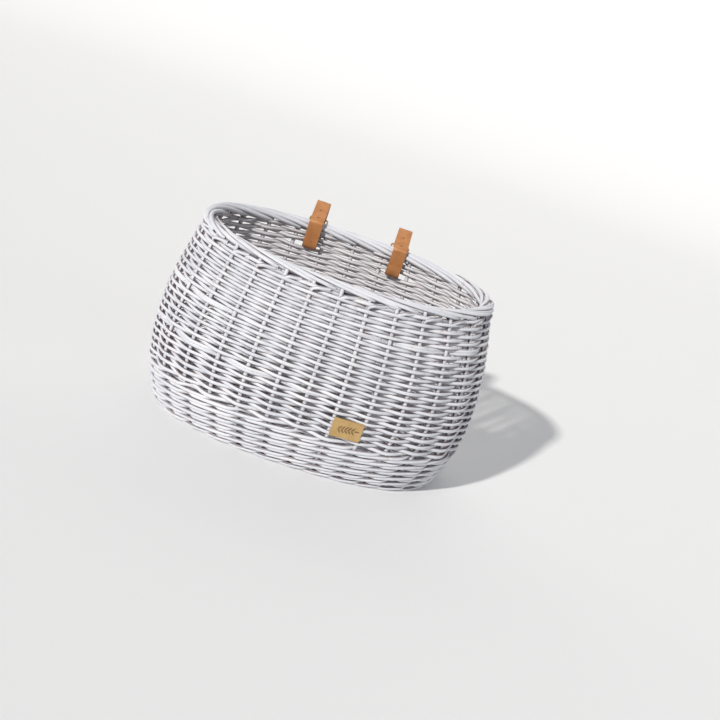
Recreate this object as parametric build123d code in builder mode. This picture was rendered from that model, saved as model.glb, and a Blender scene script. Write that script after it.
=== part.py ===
from build123d import *
from math import asin, atan2, cos, degrees, hypot, pi, radians, sin, sqrt
import os

# Wicker basket that hangs from a bicycle's handlebar by two buckled leather straps.
# Millimetres.  X runs along the basket's width, the rider and the handlebar are at +Y, Z is up.
# The origin is the middle of the base's underside.

# ---- basket body: outer half width, depth to the front and depth to the back at three heights
height = 263.0            # middle of the border at the back and at the ends
front_dip = 12.0          # how far the border dips at the front
belly_height = 110.0
base_size = (200.0, 113.0, 95.0)
belly_size = (228.0, 149.0, 124.0)
rim_size = (200.0, 114.0, 124.0)
roundness = 2.3           # exponent of the plan outline, 2 is an ellipse
wall = 12.0               # stake with a weaver on each side
shoulder = 0.85           # how quickly the side swells above the base
outline_points = 28

# ---- bands of weaving
wale_height = 64.0
lower_weave_height = 116.0
border_width = 20.0
border_height = 16.0
border_round = 5.0
seam = 0.1                # air between pieces that lie against each other

# ---- stakes
stake_count = 26
stake_diameter = 5.0
stake_foot = 3.0
stake_start = 1.0         # the stake at the middle of the back stands this far to the left
stake_drift = 2.0         # the front stakes are moved this much further round, to the right
stake_crowding = 12.0     # stakes halfway round are moved this far towards the front
stake_head_gap = 0.3      # between the end of a stake and the border

# ---- base
base_thickness = 11.0
long_stick_count = 3
long_stick_diameter = 5.0
long_stick_pitch = 6.0
short_stick_count = 7
short_stick_diameter = 7.5
short_stick_pitch = 34.0
stick_inset = 6.0         # from the end of a stick to the edge of the base

# ---- handlebar and straps
bar_radius = 11.1
bar_reach = 25.0          # middle of the handlebar beyond the back of the border
bar_rise = 17.0           # middle of the handlebar above the middle of the border
strap_spacing = 125.0
strap_width = 20.0
strap_thickness = 2.2
strap_slope = 30.0        # the back run of the strap leans this much from upright
slot_drop = 30.0          # middle of the strap's slot below the middle of the border
slot_play = 0.4
strap_side_travel = 3.0   # how far a strap can be slid along the border, each way
rim_gap = 0.4
kink_radius = 6.0
slot_bend_radius = 4.0
kink_rise = 2.6           # strap's middle line above the border where it bends over it
hole_diameter = 3.0
hole_pitch = 20.0
front_hole_lift = 9.0     # first hole of the front run, from the bend over the border
front_hole_count = 2

# ---- buckle
wire_radius = 1.2
heel_distance = 24.0      # heel bar from where the strap leaves the handlebar
buckle_length = 16.0      # heel bar to front bar, along the strap
buckle_side_gap = 3.0     # middle of the frame's wire beyond the edge of the strap
buckle_corner = 2.6
heel_play = 0.15
touch_gap = 0.3           # air between pieces that move against each other
prong_radius = 0.9
prong_eye_width = 3.2
prong_overhang = 2.2
prong_shoulder = 1.8      # how far the prong's bend lies below its point
prong_tip_lift = 0.6
prong_bend = 2.2
prong_lean = 0.6          # how far the prong leans back on its way up
prong_eye_thickness = 1.26
prong_hole_play = 0.8
prong_slot_play = 0.6
turn_back_length = 46.8   # end of the turned-back strap, from where the strap leaves the handlebar
tail_length = 49.0        # tip of the strap, measured the same way
tail_height = 10.2        # tail under the keeper, from the handlebar's centre line
turn_back_start = 1.9     # the turned-back end starts to close in this far past the heel bar
turn_back_run = 5.6       # and is flat after this much more
tail_lag = 1.2            # the tail bends this much further along than the strap under it
strap_bend_radius = 5.0
heel_fold_share = 0.999   # the fold's two corners stay just short of meeting

# ---- keeper and rivet
keeper_start = 36.3
keeper_width = 4.0
keeper_thickness = 1.5
keeper_play = 0.45
rivet_distance = 44.0
rivet_radius = 1.25
rivet_head_radius = 2.3
rivet_head_height = 0.7
rivet_head_round = 0.42
rivet_play = 0.05

# ---- leather label on the front
label_x = 64.5
label_z = 88.0
label_width = 40.0
label_height = 27.0
label_thickness = 1.8
label_corner = 1.5

os.makedirs("parts", exist_ok=True)


def save(piece, label):
    piece.part.label = label
    export_step(piece.part, f"parts/{label}.step")


# ------------------------------------------------------------------ shape of the basket
bar_y = rim_size[2] + bar_reach
bar_z = height + bar_rise
buckle_half_width = strap_width / 2 + buckle_side_gap
reach = max(belly_size[0], rim_size[0]) + border_width
back_reach = belly_size[1] + border_width
dip_radius = (rim_size[1] ** 2 + front_dip ** 2) / (2 * front_dip)


def body_size(z):
    """Outer half width, front depth and back depth of the body at a height."""
    if z < belly_height:
        swell = sin(pi / 2 * max(z, 0) / belly_height) ** shoulder
        return [low + (mid - low) * swell for low, mid in zip(base_size, belly_size)]
    taper = 1 - cos(pi / 2 * (z - belly_height) / (height - belly_height))
    return [mid + (top - mid) * taper for mid, top in zip(belly_size, rim_size)]


def plan_point(size, inset, angle):
    """Point of a plan outline, at an angle that is 0 at +X and 90 at +Y."""
    width, front, back = [half - inset for half in size]
    depth = front if sin(angle) < 0 else back
    x = width * abs(cos(angle)) ** (2 / roundness)
    y = depth * abs(sin(angle)) ** (2 / roundness)
    return (x if cos(angle) > 0 else -x, y if sin(angle) > 0 else -y)


def plan_outline(size, inset):
    """Closed smooth outline, drawn into the current line builder."""
    turns = [2 * pi * (i + 0.5) / outline_points for i in range(outline_points)]
    Spline(*[plan_point(size, inset, turn) for turn in turns], periodic=True)


def wall_depth(x, z, inset, front):
    """Y of the wall at a given X and height."""
    width, front_depth, back_depth = [half - inset for half in body_size(z)]
    share = (1 - (abs(x) / width) ** roundness) ** (1 / roundness)
    return -front_depth * share if front else back_depth * share


def walk_outline(z, share, inset, steps=720):
    """Point a share of the way round the outline, from the middle of the back over the left end."""
    size = body_size(z)
    turns = [pi / 2 + 2 * pi * i / steps for i in range(steps + 1)]
    points = [plan_point(size, inset, turn) for turn in turns]
    lengths = [hypot(b[0] - a[0], b[1] - a[1]) for a, b in zip(points, points[1:])]
    left = share * sum(lengths)
    for start, end, length in zip(points, points[1:], lengths):
        if left <= length:
            part = left / length
            return tuple(a + (b - a) * part for a, b in zip(start, end))
        left -= length
    return points[-1]


def stake_share(number):
    """Share of the way round at which a stake stands: a little closer together at the front."""
    share = number / stake_count
    perimeter = 2 * pi * hypot(rim_size[0], rim_size[1]) / sqrt(2)
    moved = stake_start + stake_drift * sin(pi * share) ** 2 + stake_crowding * sin(2 * pi * share)
    return share + moved / perimeter


def rim_curve(z):
    """Side view of the rim: level from the back to the middle, then dipping to the front."""
    Line((back_reach, z), (0, z))
    return CenterArc((0, z - dip_radius), dip_radius, 90, degrees(asin(back_reach / dip_radius)))


border_low = height - border_height / 2
border_high = height + border_height / 2
# heights at which the wall's outline is drawn: shares of the way up to the belly, then on to the border
to_belly = (0, 0.073, 0.236, 0.491, 0.745, 1)
to_border = (0.186, 0.385, 0.584, 0.783, 1)
wall_levels = [belly_height * share for share in to_belly]
wall_levels += [belly_height + (border_high - belly_height) * share for share in to_border]

with BuildPart() as below_border:
    with BuildSketch(Plane.YZ.offset(-reach)):
        with BuildLine():
            top = rim_curve(border_low - seam)
            Line(top @ 1, ((top @ 1).X, -border_height))
            Line(((top @ 1).X, -border_height), (back_reach, -border_height))
            Line((back_reach, -border_height), (back_reach, border_low - seam))
        make_face()
    extrude(amount=2 * reach)


# ------------------------------------------------------------------ stakes and their tunnels
def rim_height(y):
    """Middle of the border at a distance to the front or back."""
    return height if y > 0 else height - dip_radius + sqrt(dip_radius ** 2 - y ** 2)


def stake_path(number):
    """Two arcs that meet upright at the belly: one up into the border, one down to the stake's foot."""
    share = stake_share(number)
    foot, middle, head = [
        (*walk_outline(z, share, wall / 2), z) for z in (stake_foot, belly_height, border_high)
    ]
    upper = TangentArc(middle, head, tangent=(0, 0, 1))
    lower = TangentArc(middle, foot, tangent=(0, 0, -1))
    return upper, lower


def cut_at(path, z):
    """The part of a rising path that lies below a height."""
    low, high = 0.0, 1.0
    while high - low > 1e-5:
        middle = (low + high) / 2
        if (path @ middle).Z < z:
            low = middle
        else:
            high = middle
    return path.trim(0, low)


def build_stakes(numbers, radius, through_rim):
    with BuildPart() as group:
        for number in numbers:
            with BuildLine():
                upper, lower = stake_path(number)
            lean = hypot((upper % 1).X, (upper % 1).Y)
            end_z = rim_height((upper @ 1).Y) - border_height / 2 - stake_head_gap - radius * lean
            with BuildSketch(Plane(origin=upper @ 0, z_dir=(0, 0, 1))):
                Circle(radius)
            sweep(path=upper if through_rim else cut_at(upper, end_z))
            with BuildSketch(Plane(origin=lower @ 0, z_dir=(0, 0, -1))):
                Circle(radius)
            sweep(path=lower)
    return group


quarter = stake_count / 4
group_names = ("back_stakes", "left_end_stakes", "front_stakes", "right_end_stakes")
stake_groups = {name: [] for name in group_names}
for number in range(stake_count):
    stake_groups[group_names[int((number + quarter / 2) // quarter) % 4]].append(number)

tunnels = build_stakes(range(stake_count), stake_diameter / 2 + seam, True)
for label, numbers in stake_groups.items():
    save(build_stakes(numbers, stake_diameter / 2, False), label)

# ------------------------------------------------------------------ woven wall
strap_places = {"left": -strap_spacing / 2, "right": strap_spacing / 2}
slot_z = height - slot_drop
slot_reach = strap_width + 2 * (strap_side_travel + slot_play)

with BuildPart() as wall_shell:
    for level in wall_levels:
        with BuildSketch(Plane.XY.offset(level)):
            with BuildLine():
                plan_outline(body_size(level), 0)
            make_face()
    loft()
    for level in wall_levels:
        with BuildSketch(Plane.XY.offset(level)):
            with BuildLine():
                plan_outline(body_size(level), wall)
            make_face()
    loft(mode=Mode.SUBTRACT)
    add(below_border.part, mode=Mode.INTERSECT)
    with Locations(*[(x, rim_size[2] - wall / 2, slot_z) for x in strap_places.values()]):
        Box(slot_reach, 4 * wall, strap_thickness + 2 * slot_play, mode=Mode.SUBTRACT)
    add(tunnels.part, mode=Mode.SUBTRACT)


def build_band(low, high):
    with BuildPart() as band:
        add(wall_shell.part)
        if low > 0:
            split(bisect_by=Plane.XY.offset(low), keep=Keep.TOP)
        if high < height:
            split(bisect_by=Plane.XY.offset(high), keep=Keep.BOTTOM)
    return band


save(build_band(0, wale_height - seam / 2), "upsett_wale")
save(build_band(wale_height + seam / 2, lower_weave_height - seam / 2), "lower_weave")
save(build_band(lower_weave_height + seam / 2, height), "upper_weave")

# ------------------------------------------------------------------ border
border_centre = [half - wall / 2 for half in rim_size]

with BuildPart() as border:
    with BuildSketch(Plane.XY.offset(border_low - front_dip - border_height)):
        with BuildLine():
            plan_outline(border_centre, -border_width / 2)
        make_face()
        with BuildLine():
            plan_outline(border_centre, border_width / 2)
        make_face(mode=Mode.SUBTRACT)
    extrude(amount=front_dip + 3 * border_height)
    with BuildSketch(Plane.YZ.offset(-reach)):
        with BuildLine():
            upper = rim_curve(border_high)
            lower = rim_curve(border_low)
            Line(upper @ 1, lower @ 1)
            Line((back_reach, border_low), (back_reach, border_high))
        make_face()
    extrude(amount=2 * reach, mode=Mode.INTERSECT)
    fillet(border.edges(), radius=border_round)
save(border, "border")

# ------------------------------------------------------------------ base
long_stick_places = [long_stick_pitch * (i - (long_stick_count - 1) / 2) for i in range(long_stick_count)]
short_stick_places = [short_stick_pitch * (i - (short_stick_count - 1) / 2) for i in range(short_stick_count)]
base_inset = wall + seam
stick_z = base_thickness / 2


def stick_ends(fixed, along_x):
    """Low and high end of a base stick that runs along X or Y."""
    width, front, back = [half - base_inset - stick_inset for half in body_size(0)]
    if along_x:
        depth = front if fixed < 0 else back
        half = width * (1 - (abs(fixed) / depth) ** roundness) ** (1 / roundness)
        return -half, half
    share = (1 - (abs(fixed) / width) ** roundness) ** (1 / roundness)
    return -front * share, back * share


def build_long_sticks(radius, extra):
    with BuildPart() as sticks:
        for y in long_stick_places:
            low, high = stick_ends(y, True)
            with BuildSketch(Plane.YZ.offset(low - extra)):
                with Locations((y, stick_z)):
                    Circle(radius)
            extrude(amount=high - low + 2 * extra)
    return sticks


def build_short_sticks(radius, extra):
    with BuildPart() as sticks:
        for x in short_stick_places:
            low, high = stick_ends(x, False)
            with BuildSketch(Plane.XZ.offset(-high - extra)):
                with Locations((x, stick_z)):
                    Circle(radius)
            extrude(amount=high - low + 2 * extra)
    return sticks


long_tunnels = build_long_sticks(long_stick_diameter / 2 + seam, seam)
short_tunnels = build_short_sticks(short_stick_diameter / 2 + seam, seam)
save(build_long_sticks(long_stick_diameter / 2, 0), "base_long_sticks")

with BuildPart() as base_short_sticks:
    add(build_short_sticks(short_stick_diameter / 2, 0).part)
    add(long_tunnels.part, mode=Mode.SUBTRACT)
save(base_short_sticks, "base_short_sticks")

with BuildPart() as base_weave:
    with BuildSketch():
        with BuildLine():
            plan_outline(body_size(0), base_inset)
        make_face()
    with BuildSketch(Plane.XY.offset(base_thickness)):
        with BuildLine():
            plan_outline(body_size(base_thickness), base_inset)
        make_face()
    loft()
    add(long_tunnels.part, mode=Mode.SUBTRACT)
    add(short_tunnels.part, mode=Mode.SUBTRACT)
save(base_weave, "base_weave")

# ------------------------------------------------------------------ lines that the straps follow
# The back run is measured from the handlebar's centre: along the strap towards the basket,
# and out from the handlebar, away from the basket.
slope = radians(strap_slope)
along = (0, -sin(slope), -cos(slope))
outward = (0, cos(slope), -sin(slope))
half_thick = strap_thickness / 2
strap_line_radius = bar_radius + half_thick


def back_run(distance, out):
    """Y and Z of a point on the back run."""
    y = bar_y + distance * along[1] + out * outward[1]
    z = bar_z + distance * along[2] + out * outward[2]
    return y, z


heel_radius = wire_radius + heel_play + half_thick
heel_out = strap_line_radius - heel_radius - strap_thickness - touch_gap
main_out = heel_out - heel_radius
flap_out = main_out + strap_thickness + seam
front_bar_out = strap_line_radius + half_thick + touch_gap + wire_radius
front_bar_distance = heel_distance - buckle_length
bend_start = heel_distance + heel_radius + turn_back_start
bend_end = bend_start + turn_back_run

strap_far_x = strap_spacing / 2 + strap_width / 2 + strap_side_travel
border_inner_y = wall_depth(strap_far_x, height, wall / 2 + border_width / 2, False)
inner_run_y = border_inner_y - rim_gap - half_thick
kink_z = border_high + kink_rise
slot_mouth_distance = (bar_z - slot_z - main_out * sin(slope)) / cos(slope)

bar_bearing = atan2(bar_z - kink_z, bar_y - inner_run_y)
front_slope = bar_bearing + asin(strap_line_radius / hypot(bar_z - kink_z, bar_y - inner_run_y))
front_normal = pi / 2 + front_slope
wrap_half = (front_normal + slope) / 2
wrap_middle = (front_normal - slope) / 2
wrap_corner_radius = strap_line_radius / cos(wrap_half)
wrap_corner = (bar_y + wrap_corner_radius * cos(wrap_middle), bar_z + wrap_corner_radius * sin(wrap_middle))

strap_corners = [
    back_run(tail_length, tail_height),
    back_run(bend_end + tail_lag, tail_height),
    back_run(bend_start + tail_lag, strap_line_radius),
    wrap_corner,
    (inner_run_y, kink_z),
    (inner_run_y, slot_z),
    back_run(slot_mouth_distance, main_out),
    back_run(heel_distance - heel_radius, main_out),
    back_run(heel_distance - heel_radius, heel_out + heel_radius),
    back_run(bend_start, heel_out + heel_radius),
    back_run(bend_end, flap_out),
    back_run(turn_back_length, flap_out),
]
strap_corner_radii = [
    strap_bend_radius,
    strap_bend_radius,
    strap_line_radius,
    kink_radius,
    slot_bend_radius,
    slot_bend_radius,
    heel_radius * heel_fold_share,
    heel_radius * heel_fold_share,
    strap_bend_radius,
    strap_bend_radius,
]


def tilt_plane(x, distance, out, z_dir):
    """Sketch plane on a strap, with its X along the handlebar."""
    return Plane(origin=(x, *back_run(distance, out)), x_dir=(1, 0, 0), z_dir=z_dir)


prong_rise_distance = heel_distance - wire_radius - prong_radius - seam
prong_hole_distance = prong_rise_distance - prong_lean / 2
front_run_direction = (cos(front_slope), sin(front_slope))


def build_strap(x):
    with BuildPart() as strap:
        with BuildSketch(Plane.YZ.offset(x - strap_width / 2)):
            with BuildLine() as run:
                FilletPolyline(*strap_corners, radius=strap_corner_radii)
            trace(line_width=strap_thickness)
        extrude(amount=strap_width)
        # slot for the prong at the fold round the heel bar
        slot_high = heel_distance + heel_radius + half_thick + prong_radius
        slot_low = heel_distance - heel_radius - strap_thickness
        with BuildSketch(tilt_plane(x, (slot_low + slot_high) / 2, main_out - strap_thickness, outward)):
            Rectangle(prong_eye_width + 2 * prong_slot_play, slot_high - slot_low)
        extrude(amount=2 * heel_radius + 1.5 * strap_thickness, mode=Mode.SUBTRACT)
        # hole that the prong stands in
        with BuildSketch(tilt_plane(x, prong_hole_distance, strap_line_radius - half_thick, outward)):
            Circle(prong_radius + prong_hole_play)
        extrude(amount=1.5 * strap_thickness, mode=Mode.SUBTRACT)
        # spare holes on the run from the border up to the handlebar
        for number in range(front_hole_count):
            distance = front_hole_lift + number * hole_pitch
            y = inner_run_y + distance * front_run_direction[0]
            z = kink_z + distance * front_run_direction[1]
            normal = (0, -front_run_direction[1], front_run_direction[0])
            with BuildSketch(Plane(origin=(x, y, z), x_dir=(1, 0, 0), z_dir=normal)):
                Circle(hole_diameter / 2)
            extrude(amount=strap_thickness, both=True, mode=Mode.SUBTRACT)
        # hole for the rivet through both layers
        with BuildSketch(tilt_plane(x, rivet_distance, main_out - strap_thickness, outward)):
            Circle(rivet_radius + rivet_play)
        extrude(amount=3 * strap_thickness, mode=Mode.SUBTRACT)
    return strap


def build_rivet(x):
    low = main_out - half_thick
    high = flap_out + half_thick
    with BuildPart() as rivet:
        with BuildSketch(tilt_plane(x, rivet_distance, low - rivet_head_height, outward)):
            Circle(rivet_radius)
        extrude(amount=high - low + 2 * rivet_head_height)
        with BuildSketch(tilt_plane(x, rivet_distance, high, outward)):
            Circle(rivet_head_radius)
        extrude(amount=rivet_head_height)
        with BuildSketch(tilt_plane(x, rivet_distance, low - rivet_head_height, outward)):
            Circle(rivet_head_radius)
        extrude(amount=rivet_head_height)
        ends = rivet.faces().filter_by(GeomType.PLANE).sort_by(Axis((x, 0, 0), outward))
        fillet(ends[0].edges() + ends[-1].edges(), radius=rivet_head_round)
    return rivet


def build_buckle(x):
    length = hypot(buckle_length, front_bar_out - heel_out)
    toward_front = tuple(
        (-a * buckle_length + b * (front_bar_out - heel_out)) / length for a, b in zip(along, outward)
    )
    face = Vector(1, 0, 0).cross(Vector(*toward_front))
    with BuildPart() as buckle:
        frame_plane = Plane(origin=(x, *back_run(heel_distance, heel_out)), x_dir=(1, 0, 0), z_dir=face)
        with BuildLine(frame_plane) as loop:
            FilletPolyline(
                (-buckle_half_width, 0),
                (buckle_half_width, 0),
                (buckle_half_width, length),
                (-buckle_half_width, length),
                radius=buckle_corner,
                close=True,
            )
        with BuildSketch(Plane(origin=loop.line @ 0, z_dir=loop.line % 0)):
            Circle(wire_radius)
        sweep(path=loop.line)
    return buckle


def build_prong(x):
    eye_inner = wire_radius + seam
    eye_outer = eye_inner + prong_eye_thickness
    rest_out = front_bar_out + wire_radius + touch_gap + prong_radius
    with BuildPart() as prong:
        with BuildLine() as shank:
            with BuildLine(Plane.YZ.offset(x)):
                FilletPolyline(
                    back_run(prong_rise_distance, heel_out + wire_radius / 2),
                    back_run(prong_rise_distance - prong_lean, rest_out - prong_shoulder),
                    back_run(front_bar_distance - wire_radius - prong_overhang, rest_out + prong_tip_lift),
                    radius=prong_bend,
                )
        with BuildSketch(Plane(origin=shank.line @ 0, z_dir=shank.line % 0)):
            Circle(prong_radius)
        sweep(path=shank.line)
        with BuildSketch(Plane.YZ.offset(x - prong_eye_width / 2)):
            with Locations(back_run(heel_distance, heel_out)):
                Circle(eye_outer)
        extrude(amount=prong_eye_width)
        with BuildSketch(Plane.YZ.offset(x - prong_eye_width)):
            with Locations(back_run(heel_distance, heel_out)):
                Circle(eye_inner)
        extrude(amount=2 * prong_eye_width, mode=Mode.SUBTRACT)
    return prong


def build_keeper(x):
    low = main_out - half_thick - keeper_play
    high = tail_height + half_thick + keeper_play
    inner_width = strap_width + 2 * keeper_play
    height_over = high - low + 2 * keeper_thickness
    with BuildPart() as keeper:
        with BuildSketch(tilt_plane(x, keeper_start, (low + high) / 2, along)):
            RectangleRounded(inner_width + 2 * keeper_thickness, height_over, keeper_thickness)
            Rectangle(inner_width, high - low, mode=Mode.SUBTRACT)
        extrude(amount=keeper_width)
    return keeper


for side, x in strap_places.items():
    save(build_strap(x), f"{side}_strap")
    save(build_rivet(x), f"{side}_strap_rivet")
    save(build_buckle(x), f"{side}_buckle_frame")
    save(build_prong(x), f"{side}_buckle_prong")
    save(build_keeper(x), f"{side}_keeper")

# ------------------------------------------------------------------ label
sample = 1.0              # half the distance over which the wall's slope is measured
label_y = wall_depth(label_x, label_z, 0, True)
wall_left, wall_right = [wall_depth(x, label_z, 0, True) for x in (label_x - sample, label_x + sample)]
wall_below, wall_above = [wall_depth(label_x, z, 0, True) for z in (label_z - sample, label_z + sample)]
slope_x = (wall_right - wall_left) / (2 * sample)
slope_z = (wall_above - wall_below) / (2 * sample)
label_normal = Vector(slope_x, -1, slope_z).normalized()
label_origin = Vector(label_x, label_y, label_z) + label_normal * seam

with BuildPart() as label:
    with BuildSketch(Plane(origin=label_origin, x_dir=(1, slope_x, 0), z_dir=label_normal)):
        RectangleRounded(label_width, label_height, label_corner)
    extrude(amount=label_thickness)
save(label, "label")
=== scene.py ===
import math
import random

import bmesh
import bpy
import numpy as np
from mathutils import Matrix, Vector


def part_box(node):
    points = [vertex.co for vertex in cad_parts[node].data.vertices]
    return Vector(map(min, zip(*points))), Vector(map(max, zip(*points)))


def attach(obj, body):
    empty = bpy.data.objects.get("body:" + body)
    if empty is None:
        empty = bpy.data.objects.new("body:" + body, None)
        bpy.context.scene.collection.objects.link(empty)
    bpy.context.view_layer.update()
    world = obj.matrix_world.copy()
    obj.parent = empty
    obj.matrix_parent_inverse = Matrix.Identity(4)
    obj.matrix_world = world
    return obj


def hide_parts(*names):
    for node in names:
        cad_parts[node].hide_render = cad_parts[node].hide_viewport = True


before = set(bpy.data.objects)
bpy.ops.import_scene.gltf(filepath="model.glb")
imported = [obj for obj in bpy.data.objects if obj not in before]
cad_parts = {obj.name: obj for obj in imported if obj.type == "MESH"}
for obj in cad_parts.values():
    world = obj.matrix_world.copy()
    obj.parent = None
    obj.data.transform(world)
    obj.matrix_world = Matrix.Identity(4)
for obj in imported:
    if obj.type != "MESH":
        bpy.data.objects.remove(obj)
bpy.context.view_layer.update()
scene = bpy.context.scene
dice = random.Random(26)

# Metres throughout.  X runs along the basket's width, the handlebar is at +Y, Z is up.

# ---- basket body, as the frame holds it
HEIGHT = 0.263                      # middle of the border at the back and at the ends
FRONT_DIP = 0.012
BELLY_HEIGHT = 0.110
BASE_SIZE = (0.200, 0.113, 0.095)   # outer half width, depth to the front, depth to the back
BELLY_SIZE = (0.228, 0.149, 0.124)
RIM_SIZE = (0.200, 0.114, 0.124)
ROUNDNESS = 2.3
WALL = 0.012
SHOULDER = 0.85
WALE_HEIGHT = 0.064
LOWER_WEAVE_HEIGHT = 0.116
BORDER_HEIGHT = 0.016
BORDER_WIDTH = 0.020

# ---- rods
STAKES = 26
STAKE_RADIUS = 0.0030
STAKE_START = 0.001
STAKE_DRIFT = 0.002
STAKE_CROWDING = 0.012
STAKE_FOOT = 0.003
STAKE_TAPER = 0.12                  # share of its thickness that a stake loses on its way up
STAKE_SWAY = 0.00032                # share of the way round that a stake strays by
STEPS = 8                           # points of a rod from one stake to the next

# ---- side weaving
WEAVE_TOP = 0.005                   # top of the weaving, below the middle of the border
ROD_THICKNESS = 0.0049
LOW_ROD_EXTRA = 0.0009              # the lowest rounds are this much thicker
LOW_ROD_REACH = 0.055               # height by which that extra has gone
ROD_VARIETY = 0.0003
ROD_TAPER = 0.17
ROUND_WANDER = 0.00032              # how far a round strays up and down
JOIN_LAP = 0.30                     # a rod runs this share of a stake's spacing past each join
JOIN_TUCK = 0.0036                  # and its end is drawn inwards by this much

# ---- waling
WALE_ROUNDS = 6
WALE_STRANDS = 3
WALE_ROD_RADIUS = 0.00275
WALE_ROUND_SHIFT = 0.37             # each round starts this many stakes further on

# ---- border
BORDER_ROD_RADIUS = 0.0030
BORDER_EDGE = 0.0028                # from the border's surface to the middle of a strand
BORDER_CORE_RADIUS = 0.0042
HEAD_ROD_RADIUS = 0.0024
ENDS = (4.5, 17.5)                  # stakes at the left and right ends of the basket

# ---- straps, where they pass through the wall
SLOT_Z = HEIGHT - 0.030
SLOT_STAKES = (1.45, STAKES - 1.5)
SLOT_ROOM = 0.0036                  # rods stay this far from the middle of the slot
SLOT_REACH = 0.018                  # rods further away than this stay where they are
STRAP_LOW, STRAP_HIGH, STRAP_KINK_Z = 0.232, 0.293, 0.2736

# ---- base
BASE_THICKNESS = 0.011
BASE_ROD_RADIUS = 0.0022
BASE_ROUND_PITCH = 0.0046
BASE_OUTER_RING = 0.001             # the first ring stands this far outside the base's edge
SHORT_STICK_PITCH = 0.034
SHORT_STICK_REACH = 0.125           # outermost short stick, from the middle


# ------------------------------------------------------------------ shape of the wall
def body_size(z):
    """Outer half width, front depth and back depth at a height."""
    if z < BELLY_HEIGHT:
        swell = math.sin(math.pi / 2 * max(z, 0) / BELLY_HEIGHT) ** SHOULDER
        return [low + (mid - low) * swell for low, mid in zip(BASE_SIZE, BELLY_SIZE)]
    taper = 1 - math.cos(math.pi / 2 * (z - BELLY_HEIGHT) / (HEIGHT - BELLY_HEIGHT))
    return [mid + (top - mid) * taper for mid, top in zip(BELLY_SIZE, RIM_SIZE)]


def outline(size, inset, count=1441):
    """Closed plan outline, from the middle of the back over the left end, evenly spaced."""
    width, front, back = [half - inset for half in size]
    turns = math.pi / 2 + np.linspace(0, 2 * math.pi, 4 * count)
    c, s = np.cos(turns), np.sin(turns)
    depth = np.where(s < 0, front, back)
    x = width * np.sign(c) * np.abs(c) ** (2 / ROUNDNESS)
    y = depth * np.sign(s) * np.abs(s) ** (2 / ROUNDNESS)
    run = np.concatenate([[0], np.cumsum(np.hypot(np.diff(x), np.diff(y)))])
    even = np.linspace(0, run[-1], count)
    return np.stack([np.interp(even, run, x), np.interp(even, run, y)], 1)


# Heights at which the wall is worked out, closer together where it swells out from the base
LEVELS = np.concatenate([np.linspace(0, 0.03, 13)[:-1], np.linspace(0.03, 0.28, 60)])
WALL_GRID = np.stack([outline(body_size(z), WALL / 2) for z in LEVELS])
SIZE_TABLE = np.array([body_size(z) for z in LEVELS])


def grid_point(share, z):
    """Point of the wall's middle at a share of the way round and a height."""
    share = np.mod(share, 1.0) * (WALL_GRID.shape[1] - 1)
    column = np.clip(share.astype(int), 0, WALL_GRID.shape[1] - 2)
    row = np.clip(np.searchsorted(LEVELS, z) - 1, 0, len(LEVELS) - 2)
    across = (share - column)[:, None]
    upward = ((z - LEVELS[row]) / (LEVELS[row + 1] - LEVELS[row]))[:, None]
    low = WALL_GRID[row, column] * (1 - across) + WALL_GRID[row, column + 1] * across
    high = WALL_GRID[row + 1, column] * (1 - across) + WALL_GRID[row + 1, column + 1] * across
    plan = low * (1 - upward) + high * upward
    return np.column_stack([plan, z])


def on_wall(share, z, out):
    """Point a distance outside the middle of the wall, square to it."""
    share, z, out = [part.astype(float) for part in np.broadcast_arrays(share, z, out)]
    point = grid_point(share, z)
    round_way = grid_point(share + 0.002, z) - grid_point(share - 0.002, z)
    up_way = grid_point(share, z + 0.004) - grid_point(share, np.maximum(z - 0.004, 0.0))
    normal = np.cross(round_way, up_way)
    normal /= np.linalg.norm(normal, axis=1)[:, None]
    return point + normal * out[:, None]


def stake_share(number):
    """Share of the way round at which a stake stands; numbers between are between stakes."""
    share = np.asarray(number, float) / STAKES
    turn = np.mod(share, 1.0)
    perimeter = 2 * math.pi * math.hypot(RIM_SIZE[0], RIM_SIZE[1]) / math.sqrt(2)
    drift = STAKE_DRIFT * np.sin(math.pi * turn) ** 2
    crowding = STAKE_CROWDING * np.sin(2 * math.pi * turn)
    return share + (STAKE_START + drift + crowding) / perimeter


def rim_z(share):
    """Height of the middle of the border: level at the back and ends, dipping at the front."""
    y = grid_point(np.asarray(share, float), np.full(np.shape(share), HEIGHT))[:, 1]
    radius = (RIM_SIZE[1] ** 2 + FRONT_DIP ** 2) / (2 * FRONT_DIP)
    return np.where(y < 0, HEIGHT - radius + np.sqrt(radius ** 2 - y ** 2), HEIGHT)


def ripple(count=4):
    """Smooth random wave round the basket, about -1 to 1, as a function of the stake number."""
    waves = [(dice.randint(2, 11), dice.uniform(0, 6.3), dice.uniform(0.4, 1.0)) for _ in range(count)]
    total = sum(w[2] for w in waves)
    return lambda n: sum(a * np.sin(2 * math.pi * f * n / STAKES + p) for f, p, a in waves) / total


# ------------------------------------------------------------------ rods into meshes
def rods_piece(name, rods, sides=2):
    """One mesh of round rods; each rod is (points, radii, closed)."""
    curve = bpy.data.curves.new(name, "CURVE")
    curve.dimensions = "3D"
    curve.bevel_depth = 1.0
    curve.bevel_resolution = sides
    curve.use_fill_caps = True
    for points, radii, closed in rods:
        spline = curve.splines.new("POLY")
        spline.points.add(len(points) - 1)
        spline.points.foreach_set("co", np.column_stack([points, np.ones(len(points))]).ravel())
        spline.points.foreach_set("radius", np.broadcast_to(radii, len(points)).astype(float).ravel())
        spline.use_cyclic_u = closed
        spline.use_smooth = True
    holder = bpy.data.objects.new(name + "_line", curve)
    scene.collection.objects.link(holder)
    graph = bpy.context.evaluated_depsgraph_get()
    mesh = bpy.data.meshes.new_from_object(holder.evaluated_get(graph))
    bpy.data.objects.remove(holder)
    bpy.data.curves.remove(curve)
    return mesh_piece(name, mesh)


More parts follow.
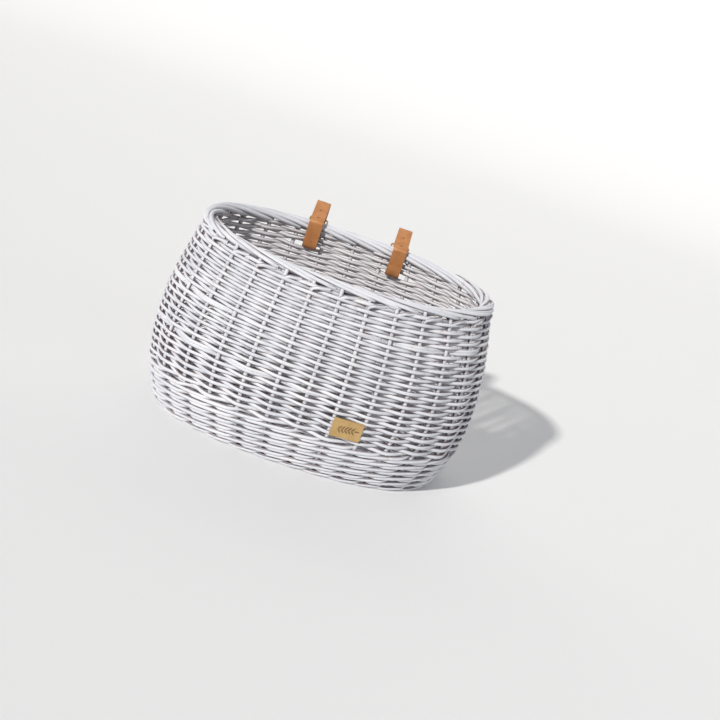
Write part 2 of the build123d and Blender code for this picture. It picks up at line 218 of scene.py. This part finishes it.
def mesh_piece(name, mesh):
    mesh.name = name
    mesh.shade_smooth()
    piece = bpy.data.objects.new(name, mesh)
    scene.collection.objects.link(piece)
    return piece


def cut_rods(parity):
    """Where each rod of a round starts and ends, in stake numbers.  Every join is behind a stake."""
    start = 2 * dice.randrange(STAKES // 2) + parity
    spans, at = [], start
    while at < start + STAKES:
        end = at + 2 * dice.randrange(3, 7)
        if start + STAKES - end < 5:
            end = start + STAKES
        spans.append((at, end))
        at = end
    return spans


def wall_value(points):
    """0 on the middle of the wall, positive outside it."""
    width, front, back = [np.interp(points[:, 2], LEVELS, column) - WALL / 2 for column in SIZE_TABLE.T]
    depth = np.where(points[:, 1] < 0, front, back)
    return np.abs(points[:, 0] / width) ** ROUNDNESS + np.abs(points[:, 1] / depth) ** ROUNDNESS


def wall_facing(points):
    """Direction square to the wall at each point."""
    step = 0.001
    slopes = [wall_value(points + step * axis) - wall_value(points - step * axis) for axis in np.eye(3)]
    slopes = np.stack(slopes, 1)
    return slopes / np.linalg.norm(slopes, axis=1)[:, None]


def mark_paint_and_gap_shade(piece, facing_of):
    """Stores how squarely each point faces out of the wall: where rods lie against each other paint is thin
    and the colour is darkened as painted shade.
    """
    mesh = piece.data
    count = len(mesh.vertices)
    points, normals = np.empty(count * 3), np.empty(count * 3)
    mesh.vertices.foreach_get("co", points)
    mesh.vertices.foreach_get("normal", normals)
    facing = facing_of(points.reshape(-1, 3))
    squarely = (normals.reshape(-1, 3) * facing).sum(1)
    mesh.attributes.new("open_to_paint_and_light", "FLOAT", "POINT").data.foreach_set("value", np.abs(squarely))
    mesh.attributes.new("inside", "FLOAT", "POINT").data.foreach_set("value", np.clip(-squarely * 2, 0, 1))


# ------------------------------------------------------------------ side weave
def part_for_strap(number, z):
    """Moves a rod just clear of each strap that passes through the wall."""
    for middle in SLOT_STAKES:
        along = np.abs(np.mod(number - middle + STAKES / 2, STAKES) - STAKES / 2)
        side = 1 if z[along.argmin()] > SLOT_Z else -1
        away = np.abs(z - SLOT_Z)
        moved = SLOT_Z + side * (SLOT_ROOM + away * (1 - SLOT_ROOM / SLOT_REACH))
        share = np.clip(1.25 - along * 1.5, 0, 1) ** 0.7 * (away < SLOT_REACH)
        z = z + (moved - z) * share
    return z


# Short packing rows that fill the wall out: (share of the height, middle stake, half span, thickness)
PACKING = ((0.30, 9.3, 4.2, 0.0046), (0.62, 8.0, 3.4, 0.0040), (0.78, 16.8, 3.2, 0.0038))


def packed(number, middle, half):
    """1 in the middle of a packing row, falling to 0 at its ends."""
    away = np.abs(np.mod(number - middle + STAKES / 2, STAKES) - STAKES / 2) / half
    return np.where(away < 1, np.cos(math.pi / 2 * np.clip(away, 0, 1)) ** 0.8, 0.0)


def packing_height(number, up_to=1.0):
    """What the packing rows that lie below a share of the height add to the wall."""
    below = [row for row in PACKING if row[0] < up_to]
    return sum(thick * packed(number, middle, half) for _, middle, half, thick in below)


def weave_z(number, stacked, height, up_to):
    """Height of a row, once the whole stack is spread from the waling to the border."""
    top = rim_z(stake_share(number)) - WEAVE_TOP
    share = (stacked + packing_height(number, up_to)) / (height + packing_height(number))
    return WALE_HEIGHT + (top - WALE_HEIGHT) * share


def stack_rounds():
    """Middle height and thickness of each round of the side weaving, and the height of them all."""
    stack = []
    height = 0.0
    full = HEIGHT - WEAVE_TOP - WALE_HEIGHT
    while height < full - 0.002:
        low_down = max(0.0, 1 - height / LOW_ROD_REACH)
        thick = ROD_THICKNESS + LOW_ROD_EXTRA * low_down + dice.uniform(-ROD_VARIETY, ROD_VARIETY)
        stack.append((height + thick / 2, thick))
        height += thick
    return stack, height


def build_side_weave():
    """Plain weaving above the waling, as two pieces; every round is cut into rods that taper."""
    stack, height = stack_rounds()
    lower, upper = [], []
    for row, (middle, thick) in enumerate(stack):
        wander = ripple()
        rods = lower if WALE_HEIGHT + middle < LOWER_WEAVE_HEIGHT else upper
        for start, end in cut_rods((row + 1) % 2):
            number = np.linspace(start - JOIN_LAP, end + JOIN_LAP, (end - start) * STEPS + 5)
            along = np.clip((number - start) / (end - start), 0, 1)
            z = weave_z(number, middle, height, middle / height) + ROUND_WANDER * wander(number)
            out = (STAKE_RADIUS + thick / 2 - 0.0002) * weave_side(number + row)
            out = out - JOIN_TUCK * np.clip(number - end + 0.45, 0, 1) ** 0.7
            points = on_wall(stake_share(number), part_for_strap(number, z), out)
            rods.append((points, thick / 2 * (1.06 - ROD_TAPER * along), False))
    for level, middle, half, thick in PACKING:
        number = np.linspace(middle - half * 0.96, middle + half * 0.96, int(half * 2 * STEPS))
        width = packed(number, middle, half)
        z = weave_z(number, level * height + thick * width / 2, height, level)
        row = min(range(len(stack)), key=lambda i: abs(stack[i][0] - level * height))
        out = (STAKE_RADIUS + thick / 2) * weave_side(number + row)
        upper.append((on_wall(stake_share(number), z, out), 0.0008 + thick / 2 * width * 0.85, False))
    return rods_piece("upper_weave_rods", upper), rods_piece("lower_weave_rods", lower)


def weave_side(number):
    """1 in front of every second stake, -1 behind the others, and flush with the wall in between."""
    side = np.cos(math.pi * number)
    return 0.06 + 0.82 * np.sign(side) * np.abs(side) ** 1.3


# ------------------------------------------------------------------ waling at the foot
def build_wale():
    """Rounds of three strands each; a strand's own repeat is stretched so that it closes on itself."""
    pitch = WALE_HEIGHT / WALE_ROUNDS
    rods = []
    for row in range(WALE_ROUNDS):
        wander = ripple()
        for strand in range(WALE_STRANDS):
            number = np.linspace(0, STAKES, STAKES * STEPS + 1)[:-1] + strand + row * WALE_ROUND_SHIFT
            phase = np.mod((number - strand) * (STAKES + 1) / STAKES, WALE_STRANDS)
            out = wale_out(phase) * (STAKE_RADIUS + WALE_ROD_RADIUS * 0.9)
            lift = wale_lift(phase) * pitch * 0.40
            z = pitch * (row + 0.5) + lift + 0.0003 * wander(number)
            thick = WALE_ROD_RADIUS * (1 + 0.08 * np.sin(2 * math.pi * number / STAKES * 3 + strand * 2))
            points = on_wall(stake_share(number), z, out)
            points[:, 2] = np.maximum(points[:, 2], thick)
            rods.append((points, thick, True))
    return rods_piece("wale_rods", rods)


def wale_out(phase):
    """Three-rod wale: in front of two stakes, then behind one.  1 is in front, -1 behind."""
    away = np.abs(np.mod(phase + 1.5, 3) - 1.5)
    return np.clip(1.15 - 2.15 * np.cos(math.pi / 2 * np.clip(away / 0.95, 0, 1)) ** 1.5, -1, 1)


def wale_lift(phase):
    """A stroke climbs while it is in front and drops while it is behind."""
    behind = np.where(phase < 0.5, phase, phase - 3)
    return np.where(np.abs(behind) <= 0.5, -2 * behind, phase - 1.5)


# ------------------------------------------------------------------ stakes
def build_stakes(name, numbers):
    """Upright rods from the base into the border, each tapering and straying a little."""
    rods = []
    for number in numbers:
        share = float(stake_share(number))
        top = float(rim_z(np.array([share]))[0])
        z = np.linspace(STAKE_FOOT, top, 60)
        sway = ripple(3)
        points = on_wall(share + STAKE_SWAY * sway(z / top * STAKES / 3), z, 0.0004)
        rods.append((points, STAKE_RADIUS * (1.06 - STAKE_TAPER * z / top), False))
    return rods_piece(name, rods, 3)


# ------------------------------------------------------------------ border
def border_point(number, turn, swell=1.0):
    """Point of a strand on the border; turn is 0 outside, 90 on top and 180 inside, in degrees."""
    share = stake_share(number)
    z = rim_z(share)
    half_width = (BORDER_WIDTH / 2 - BORDER_EDGE) * swell
    half_height = (BORDER_HEIGHT / 2 - BORDER_EDGE) * swell
    angle = np.radians(turn)
    level = np.full(len(share), HEIGHT)
    centre = grid_point(share, level)
    ahead = grid_point(share + 0.002, level) - grid_point(share - 0.002, level)
    ahead /= np.linalg.norm(ahead, axis=1)[:, None]
    outward = np.column_stack([ahead[:, 1], -ahead[:, 0], np.zeros(len(share))])
    centre[:, 2] = z + half_height * np.sin(angle)
    return centre + outward * (half_width * np.cos(angle))[:, None]


def build_border():
    """One strand from each stake: up the inside, over the top, and down the outside to the right.

    Below them each stake's head leans over into the border, and a core runs through its middle.
    """
    rods = []
    for strand in range(STAKES):
        start = strand + dice.uniform(-0.10, 0.10)
        end_share = math.exp(-((min(abs(strand - end) for end in ENDS) / 1.7) ** 2))
        travel = dice.uniform(4.7, 5.3) - 1.5 * end_share
        along = np.linspace(0, 1, 60)
        inner = dice.uniform(246, 256)
        turn = np.interp(along, [0, 0.08, 0.24, 0.50, 0.78, 0.94, 1.0], [inner, 218, 166, 102, 38, 0, -32])
        swell = 1 + dice.uniform(-0.02, 0.06) + 0.05 * np.sin(math.pi * along * 3 + strand)
        swell = swell - 0.30 * np.clip((along - 0.93) / 0.07, 0, 1) ** 2
        radius = (BORDER_ROD_RADIUS + 0.0005 * end_share) * (1.05 - 0.28 * along) * dice.uniform(0.94, 1.06)
        rods.append((border_point(start + travel * along, turn, swell), radius, False))
    along = np.linspace(0, 1, 14)
    bends = [0, 0.3, 0.62, 1]
    for stake in range(STAKES):
        lean = dice.uniform(0.30, 0.42)
        share = stake_share(stake + np.interp(along, bends, [0.0, 0.03, lean * 0.6, lean + 0.25]))
        rise = np.interp(along, bends, [-0.0165, -0.0105, -0.0078, -0.0050])
        out = np.interp(along, bends, [0.0, 0.0042, 0.0062, 0.0016])
        rods.append((on_wall(share, rim_z(share) + rise, out), HEAD_ROD_RADIUS, False))
    ring = np.linspace(0, STAKES, STAKES * 6 + 1)[:-1]
    rods.append((border_point(ring, np.full(len(ring), 90.0), 0.0), BORDER_CORE_RADIUS, True))
    return rods_piece("border_strands", rods)


def border_facing(points):
    """Direction out from the middle line of the border."""
    share = np.linspace(0, 1, 1201)[:-1]
    line = grid_point(share, np.full(len(share), HEIGHT))
    line[:, 2] = rim_z(share)
    nearest = np.concatenate([
        line[np.argmin(((part[:, None, :2] - line[None, :, :2]) ** 2).sum(2), axis=1)]
        for part in np.array_split(points, max(1, len(points) // 2000))
    ])
    away = points - nearest
    return away / np.maximum(np.linalg.norm(away, axis=1), 1e-6)[:, None]


# ------------------------------------------------------------------ base
def base_facing(points):
    """The base is seen from above and below."""
    return np.tile([0.0, 0.0, 1.0], (len(points), 1))


def build_base():
    """Rings of weaving that close in on the middle of the base, closer set at the back than at the front."""
    rods = []
    inset = WALL + BASE_ROD_RADIUS
    row = 0
    while BASE_SIZE[2] - inset > 0.002:
        front = BASE_SIZE[1] - inset * (BASE_SIZE[1] / BASE_SIZE[2] - 1)
        size = [half + BASE_OUTER_RING for half in (BASE_SIZE[0], front, BASE_SIZE[2])]
        ring = outline(size, inset, 361)[:-1]
        wave = np.cos(math.pi * ring[:, 0] / SHORT_STICK_PITCH + math.pi * row)
        calm = np.clip((SHORT_STICK_REACH - np.abs(ring[:, 0])) / 0.02, 0.35, 1)
        z = BASE_THICKNESS / 2 + 0.0030 * wave * calm
        rods.append((np.column_stack([ring, z]), BASE_ROD_RADIUS * dice.uniform(0.93, 1.07), True))
        inset += BASE_ROUND_PITCH
        row += 1
    return rods_piece("base_weavers", rods)


# ------------------------------------------------------------------ materials
def new_material(name, colour, roughness):
    """A material with its node tree and its shader, for the functions below to build on."""
    material = bpy.data.materials.new(name)
    material.use_nodes = True
    tree = material.node_tree
    shader = tree.nodes["Principled BSDF"]
    shader.inputs["Base Color"].default_value = (*colour, 1)
    shader.inputs["Roughness"].default_value = roughness
    return material, tree, shader


def add_node(tree, kind, **settings):
    """A node whose settings go to the socket of that name, or else to the node itself."""
    node = tree.nodes.new(kind)
    for key, value in settings.items():
        if key in node.inputs:
            node.inputs[key].default_value = value
        else:
            setattr(node, key, value)
    return node


def noise_at(tree, scale, detail=4.0):
    """Noise fixed to the piece, with this many waves to the metre."""
    coords = add_node(tree, "ShaderNodeTexCoord")
    noise = add_node(tree, "ShaderNodeTexNoise", Scale=scale, Detail=detail)
    tree.links.new(coords.outputs["Object"], noise.inputs["Vector"])
    return noise


def ramp(tree, source, stops):
    node = add_node(tree, "ShaderNodeValToRGB")
    elements = node.color_ramp.elements
    while len(elements) < len(stops):
        elements.new(0.5)
    for element, (position, colour) in zip(elements, stops):
        element.position = position
        element.color = (*colour, 1) if len(colour) == 3 else colour
    tree.links.new(source, node.inputs["Fac"])
    return node


def mix(tree, factor, first, second, mode="MIX"):
    node = add_node(tree, "ShaderNodeMix", data_type="RGBA", blend_type=mode)
    for socket, value in ((node.inputs[0], factor), (node.inputs[6], first), (node.inputs[7], second)):
        if hasattr(value, "is_linked") or hasattr(value, "links"):
            tree.links.new(value, socket)
        elif isinstance(value, tuple):
            socket.default_value = (*value, 1)
        else:
            socket.default_value = value
    return node.outputs[2]


def bump(tree, shader, height, strength, distance):
    node = add_node(tree, "ShaderNodeBump", Strength=strength, Distance=distance)
    tree.links.new(height, node.inputs["Height"])
    tree.links.new(node.outputs["Normal"], shader.inputs["Normal"])


def bare_willow_and_gap_shade(tree):
    """Bare, stained rod, darkened further as painted shade, for the gaps between rods."""
    stain = noise_at(tree, 240, 3).outputs["Fac"]
    return ramp(tree, stain, [(0.3, (0.060, 0.030, 0.038)), (0.7, (0.165, 0.095, 0.10))]).outputs["Color"]


def painted_willow(name, worn, marked=True):
    """White paint over willow: rod to rod differences, thin pinkish patches, fine brush texture.

    Marked pieces also show bare rod, darkened as painted shade, in the gaps between rods.
    """
    material, tree, shader = new_material(name, (0.74, 0.75, 0.79), 0.5)
    clouds = noise_at(tree, 26, 3).outputs["Fac"]
    tone = ramp(tree, clouds, [(0.35, (0.72, 0.73, 0.77)), (0.70, (0.80, 0.80, 0.83))])
    island = add_node(tree, "ShaderNodeNewGeometry")
    each_rod = island.outputs["Random Per Island"]
    rod_tone = ramp(tree, each_rod, [(0.0, (0.88, 0.885, 0.90)), (1.0, (1.0, 0.995, 0.99))])
    base = mix(tree, 1.0, tone.outputs["Color"], rod_tone.outputs["Color"], "MULTIPLY")
    thin = ramp(tree, noise_at(tree, 90, 5).outputs["Fac"], [(0.60, (0, 0, 0)), (0.78, (worn, worn, worn))])
    fibres = noise_at(tree, 400, 2).outputs["Fac"]
    willow = ramp(tree, fibres, [(0.3, (0.42, 0.27, 0.22)), (0.7, (0.62, 0.47, 0.40))])
    colour = mix(tree, thin.outputs["Color"], base, willow.outputs["Color"])
    if marked:
        open_to_paint_and_light = add_node(tree, "ShaderNodeAttribute", attribute_name="open_to_paint_and_light")
        inside = add_node(tree, "ShaderNodeAttribute", attribute_name="inside")
        warm = mix(tree, 1.0, colour, (1.0, 0.955, 0.935), "MULTIPLY")
        colour = mix(tree, inside.outputs["Fac"], colour, warm)
        # Where rods lie against each other the colour goes to dark bare willow, partly real bare rod and
        # partly painted shade in the gaps.
        paint_and_shade_ramp = ramp(tree, open_to_paint_and_light.outputs["Fac"], [(0.18, (0, 0, 0)), (0.60, (1, 1, 1))])
        colour = mix(tree, paint_and_shade_ramp.outputs["Color"], bare_willow_and_gap_shade(tree), colour)
    tree.links.new(colour, shader.inputs["Base Color"])
    rough = ramp(tree, noise_at(tree, 300, 3).outputs["Fac"], [(0.3, (0.38,) * 3), (0.7, (0.60,) * 3)])
    tree.links.new(rough.outputs["Color"], shader.inputs["Roughness"])
    grain = noise_at(tree, 900, 6)
    bump(tree, shader, grain.outputs["Fac"], 0.35, 0.0006)
    return material


def tanned_leather(name, light, dark, grain_scale):
    """Leather with uneven tan, fine specks and pores."""
    material, tree, shader = new_material(name, light, 0.5)
    patches = ramp(tree, noise_at(tree, 70, 5).outputs["Fac"], [(0.30, dark), (0.62, light)])
    fine = noise_at(tree, 1400, 3).outputs["Fac"]
    specks = ramp(tree, fine, [(0.35, (0.80, 0.78, 0.76)), (0.65, (1, 1, 1))])
    colour = mix(tree, 1.0, patches.outputs["Color"], specks.outputs["Color"], "MULTIPLY")
    tree.links.new(colour, shader.inputs["Base Color"])
    coords = add_node(tree, "ShaderNodeTexCoord")
    pores = add_node(tree, "ShaderNodeTexVoronoi", Scale=grain_scale)
    tree.links.new(coords.outputs["Object"], pores.inputs["Vector"])
    bump(tree, shader, pores.outputs["Distance"], 0.25, 0.0005)
    rough = ramp(tree, noise_at(tree, 200, 3).outputs["Fac"], [(0.3, (0.42,) * 3), (0.7, (0.62,) * 3)])
    tree.links.new(rough.outputs["Color"], shader.inputs["Roughness"])
    return material


def strap_grime_shade_and_highlight(material):
    """Grime and painted shade towards the lower end where the strap goes into the wall, and a painted
    highlight on the crease where the strap bends over the border.
    """
    tree = material.node_tree
    shader = tree.nodes["Principled BSDF"]
    colour = shader.inputs["Base Color"].links[0].from_socket
    coords = add_node(tree, "ShaderNodeTexCoord")
    split = add_node(tree, "ShaderNodeSeparateXYZ")
    tree.links.new(coords.outputs["Object"], split.inputs["Vector"])
    low, high = STRAP_LOW, STRAP_HIGH
    height = add_node(tree, "ShaderNodeMapRange")
    height.inputs["From Min"].default_value = low
    height.inputs["From Max"].default_value = high
    tree.links.new(split.outputs["Z"], height.inputs["Value"])
    kink = (STRAP_KINK_Z - low) / (high - low)
    # Darker towards the lower end where the strap goes into the wall, partly dirt and partly painted shade;
    # the bright bluish band at the crease is a painted highlight.
    grime_shade_and_highlight = ramp(tree, height.outputs["Result"], [
        (0.0, (0.55, 0.50, 0.47)), (0.22, (0.90, 0.88, 0.86)), (kink - 0.045, (0.86, 0.84, 0.82)),
        (kink - 0.012, (1.14, 1.18, 1.22)), (kink + 0.015, (1, 1, 1)), (1.0, (1.04, 1.04, 1.03)),
    ])
    tree.links.new(mix(tree, 1.0, colour, grime_shade_and_highlight.outputs["Color"], "MULTIPLY"), shader.inputs["Base Color"])
    return material


def polished_brass():
    """Brass with darker tarnished patches and fine scratches."""
    material, tree, shader = new_material("polished_brass", (0.78, 0.57, 0.25), 0.25)
    shader.inputs["Metallic"].default_value = 1.0
    patina = noise_at(tree, 160, 5).outputs["Fac"]
    tarnish = ramp(tree, patina, [(0.35, (0.50, 0.34, 0.14)), (0.62, (0.80, 0.60, 0.28))])
    tree.links.new(tarnish.outputs["Color"], shader.inputs["Base Color"])
    rough = ramp(tree, noise_at(tree, 500, 4).outputs["Fac"], [(0.3, (0.18,) * 3), (0.7, (0.38,) * 3)])
    tree.links.new(rough.outputs["Color"], shader.inputs["Roughness"])
    scratches = noise_at(tree, 2200, 2)
    bump(tree, shader, scratches.outputs["Fac"], 0.08, 0.0003)
    return material


def dress(piece, material):
    piece.data.materials.clear()
    piece.data.materials.append(material)


willow = painted_willow("painted_willow", 0.55)
willow_thick = painted_willow("painted_willow_stakes", 0.8)
willow_sticks = painted_willow("painted_willow_sticks", 0.7, marked=False)
strap_leather = strap_grime_shade_and_highlight(tanned_leather("strap_leather", (0.60, 0.26, 0.088), (0.47, 0.18, 0.055), 1300))
label_leather = tanned_leather("label_leather", (0.60, 0.40, 0.165), (0.50, 0.31, 0.115), 1700)
stamped_leather = tanned_leather("stamped_leather", (0.25, 0.145, 0.06), (0.18, 0.10, 0.04), 1700)
brass = polished_brass()


# ------------------------------------------------------------------ label
STAMP_LIFT = 0.00006                # the sprig lies this far above the leather
LEAF_SEGMENTS = 28
LEAF_TAPER = 0.35
LEAF_PAIRS = 5
LEAF_PITCH = 0.0044
LEAF_TURN = 0.85
STEM_TURN = 0.06


def build_stamp():
    """Flat sprig of leaves, a hair proud of the label's face."""
    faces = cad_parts["label"].data.polygons
    front = max((face for face in faces if face.normal.y < -0.5), key=lambda face: face.area)
    normal = front.normal.copy()
    low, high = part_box("label")
    middle = (low + high) / 2
    middle += normal * (front.center - middle).dot(normal)
    across = Vector((1, 0, 0))
    across = (across - normal * across.dot(normal)).normalized()
    upward = normal.cross(across)
    if upward.z < 0:
        upward = -upward
    sprig = bmesh.new()

    def blade(cx, cy, half_length, half_width, turn):
        """A leaf: a disc drawn out lengthways, fuller towards its stem."""
        disc = bmesh.ops.create_circle(sprig, cap_ends=True, segments=LEAF_SEGMENTS, radius=1)["verts"]
        for vert in disc:
            along, aside = vert.co.x, vert.co.y
            u = half_length * along
            v = half_width * aside * (1 - LEAF_TAPER * along)
            x = cx + u * math.cos(turn) - v * math.sin(turn)
            y = cy + u * math.sin(turn) + v * math.cos(turn)
            vert.co = middle + across * x + upward * y + normal * STAMP_LIFT

    blade(-0.0005, 0.0, 0.0135, 0.0004, STEM_TURN)
    for pair in range(LEAF_PAIRS):
        x = -0.0110 + LEAF_PITCH * pair
        for side in (-1, 1):
            blade(x + 0.0019, side * 0.0031 + 0.06 * x, 0.0033, 0.00105, side * LEAF_TURN)
    blade(0.0136, 0.0008, 0.0032, 0.0011, STEM_TURN)
    bmesh.ops.recalc_face_normals(sprig, faces=sprig.faces)
    for face in sprig.faces:
        if face.normal.dot(normal) < 0:
            face.normal_flip()
    mesh = bpy.data.meshes.new("label_stamp")
    sprig.to_mesh(mesh)
    sprig.free()
    piece = bpy.data.objects.new("label_stamp", mesh)
    scene.collection.objects.link(piece)
    return piece


# ------------------------------------------------------------------ camera, floor and light
LOOK_AT = Vector((0, 0, 0.1318))
AZIMUTH, ELEVATION, ROLL = math.radians(0.18), math.radians(19.02), math.radians(18.57)
DISTANCE = 1.595
SENSOR_WIDTH = 36
FOCAL_SHARE = 1.61222            # focal length as a share of the sensor's width
AIM_RIGHT, AIM_UP = 0.0336, -0.0108
FLOOR_HALF_WIDTH = 9.0
FLOOR_AHEAD = 6.0
FLOOR_BEHIND = 2.6
FLOOR_BEND = 1.6
BACKDROP_HEIGHT = 6.0
SUN_DIRECTION = (1.5, 2.35, -1.75)


def build_camera():
    """Camera in front and above, rolled to the right, so that the basket stands askew in view."""
    back = Vector((
        math.sin(AZIMUTH) * math.cos(ELEVATION), -math.cos(AZIMUTH) * math.cos(ELEVATION), math.sin(ELEVATION)
    ))
    right = (-back).cross(Vector((0, 0, 1))).normalized()
    up = right.cross(-back)
    rolled_right = right * math.cos(ROLL) + up * math.sin(ROLL)
    rolled_up = up * math.cos(ROLL) - right * math.sin(ROLL)
    ahead = (-back + rolled_right * AIM_RIGHT + rolled_up * AIM_UP).normalized()
    side = ahead.cross(rolled_up).normalized()
    top = side.cross(ahead)
    data = bpy.data.cameras.new("camera")
    data.sensor_width = SENSOR_WIDTH
    data.lens = SENSOR_WIDTH * FOCAL_SHARE
    data.clip_start = 0.05
    data.clip_end = 50
    camera = bpy.data.objects.new("camera", data)
    turn = Matrix((side, top, -ahead)).transposed().to_4x4()
    camera.matrix_world = Matrix.Translation(LOOK_AT + back * DISTANCE) @ turn
    scene.collection.objects.link(camera)
    scene.camera = camera


def area_light(name, place, size, power, colour=(1, 1, 1)):
    data = bpy.data.lights.new(name, "AREA")
    data.size = size
    data.energy = power
    data.color = colour
    lamp = bpy.data.objects.new(name, data)
    lamp.location = place
    lamp.rotation_mode = "QUATERNION"
    lamp.rotation_quaternion = (LOOK_AT - Vector(place)).to_track_quat("-Z", "Y")
    scene.collection.objects.link(lamp)


def build_backdrop():
    """Floor that curves up into a wall behind, drawn out sideways from its profile."""
    bend = [math.radians(t) for t in range(6, 91, 6)]
    profile = [(-FLOOR_AHEAD, 0.0), (FLOOR_BEHIND, 0.0)]
    profile += [(FLOOR_BEHIND + FLOOR_BEND * math.sin(t), FLOOR_BEND * (1 - math.cos(t))) for t in bend]
    profile += [(FLOOR_BEHIND + FLOOR_BEND, BACKDROP_HEIGHT)]
    backdrop = bmesh.new()
    points = [backdrop.verts.new((-FLOOR_HALF_WIDTH, y, z)) for y, z in profile]
    edges = [backdrop.edges.new(pair) for pair in zip(points, points[1:])]
    drawn = bmesh.ops.extrude_edge_only(backdrop, edges=edges)["geom"]
    far = [part for part in drawn if isinstance(part, bmesh.types.BMVert)]
    bmesh.ops.translate(backdrop, verts=far, vec=(2 * FLOOR_HALF_WIDTH, 0, 0))
    bmesh.ops.recalc_face_normals(backdrop, faces=backdrop.faces)
    mesh = bpy.data.meshes.new("floor")
    backdrop.to_mesh(mesh)
    backdrop.free()
    mesh.shade_smooth()
    floor = bpy.data.objects.new("floor", mesh)
    scene.collection.objects.link(floor)
    dress(floor, new_material("pale_floor", (0.86, 0.86, 0.86), 0.8)[0])


def build_studio():
    """Pale curved floor, a sun from the front on the left, and two weak soft lamps."""
    build_backdrop()
    sun = bpy.data.lights.new("key", "SUN")
    sun.energy = 2.9
    sun.angle = math.radians(2.5)
    sun.color = (1.0, 0.985, 0.955)
    key = bpy.data.objects.new("key", sun)
    key.rotation_mode = "QUATERNION"
    key.rotation_quaternion = Vector(SUN_DIRECTION).to_track_quat("-Z", "Y")
    scene.collection.objects.link(key)
    area_light("fill", (1.8, -1.2, 1.6), 2.0, 5, (0.90, 0.94, 1.0))
    area_light("top", (0.2, 0.6, 2.4), 2.0, 5)
    world = bpy.data.worlds.new("studio")
    world.use_nodes = True
    world.node_tree.nodes["Background"].inputs["Color"].default_value = (0.93, 0.95, 1.0, 1)
    world.node_tree.nodes["Background"].inputs["Strength"].default_value = 0.25
    scene.world = world
    scene.view_settings.view_transform = "Standard"


# ------------------------------------------------------------------ assemble
BODY = "basket"
upper_rods, lower_rods = build_side_weave()
woven = {
    "upper_weave": upper_rods,
    "lower_weave": lower_rods,
    "upsett_wale": build_wale(),
    "border": build_border(),
    "base_weave": build_base(),
}
facings = {"border": border_facing, "base_weave": base_facing}
for node, piece in woven.items():
    mark_paint_and_gap_shade(piece, facings.get(node, wall_facing))
    dress(piece, willow)
    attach(piece, BODY)
    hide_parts(node)

quarter = STAKES / 4
groups = {"back_stakes": [], "left_end_stakes": [], "front_stakes": [], "right_end_stakes": []}
for number in range(STAKES):
    groups[list(groups)[int((number + quarter / 2) // quarter) % 4]].append(number)
for node, numbers in groups.items():
    piece = build_stakes(node + "_rods", numbers)
    mark_paint_and_gap_shade(piece, wall_facing)
    dress(piece, willow_thick)
    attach(piece, BODY)
    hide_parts(node)


def soften(piece, width):
    """Rounds the edges of a CAD node, as burnished leather is."""
    weld = piece.modifiers.new("weld", "WELD")
    weld.merge_threshold = 0.00001
    bevel = piece.modifiers.new("burnish", "BEVEL")
    bevel.width = width
    bevel.segments = 3
    bevel.limit_method = "ANGLE"
    bevel.angle_limit = math.radians(40)


soften(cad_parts["label"], 0.0005)
for side in ("left", "right"):
    soften(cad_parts[f"{side}_strap"], 0.0005)
    soften(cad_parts[f"{side}_keeper"], 0.0003)
for node in ("base_long_sticks", "base_short_sticks"):
    dress(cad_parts[node], willow_sticks)
dress(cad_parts["label"], label_leather)
for side in ("left", "right"):
    for node in ("strap", "keeper"):
        dress(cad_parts[f"{side}_{node}"], strap_leather)
    for node in ("strap_rivet", "buckle_frame", "buckle_prong"):
        dress(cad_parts[f"{side}_{node}"], brass)

# A leaf sprig stamped into the label
label_stamp = build_stamp()
dress(label_stamp, stamped_leather)
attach(label_stamp, BODY)

build_camera()
build_studio()
